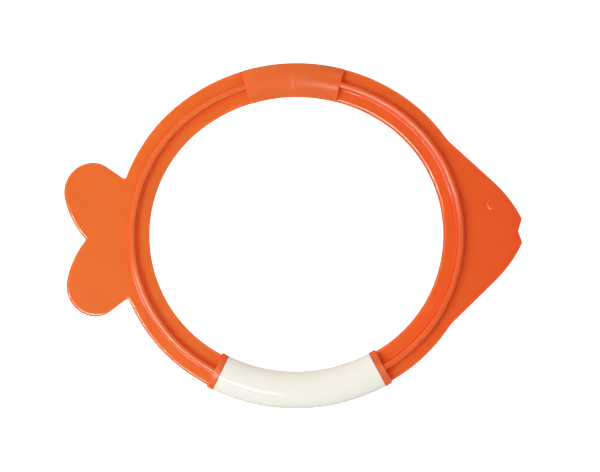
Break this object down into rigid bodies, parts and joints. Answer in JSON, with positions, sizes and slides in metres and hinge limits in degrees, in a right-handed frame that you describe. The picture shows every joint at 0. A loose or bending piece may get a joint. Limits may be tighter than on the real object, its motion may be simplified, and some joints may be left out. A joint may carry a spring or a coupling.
{
  "type": "fish-shaped pool dive ring",
  "caption": "Oval fish-shaped dive ring with a ribbed web, a head and tail plate, a round float bar at the top and a weighted sleeve at the bottom.",
  "frame": {"origin": "centre of the ring's oval, on the middle plane of its web", "axes": "+X to the fish's head, +Y to the float bar at the top of the standing ring, +Z out of the front face"},
  "size_m": [0.2174, 0.1646, 0.018],
  "materials": {
    "orange_plastic": "glossy moulded polypropylene, slightly translucent",
    "white_plastic": "glossy cream-white moulded plastic",
    "ballast_steel": "bare blanked plate"
  },
  "bodies": {
    "root": {"fish_frame": "orange_plastic", "weight_sleeve_front": "white_plastic", "weight_sleeve_back": "white_plastic", "ballast_plate_front": "ballast_steel", "ballast_plate_back": "ballast_steel"}
  },
  "joints": []
}
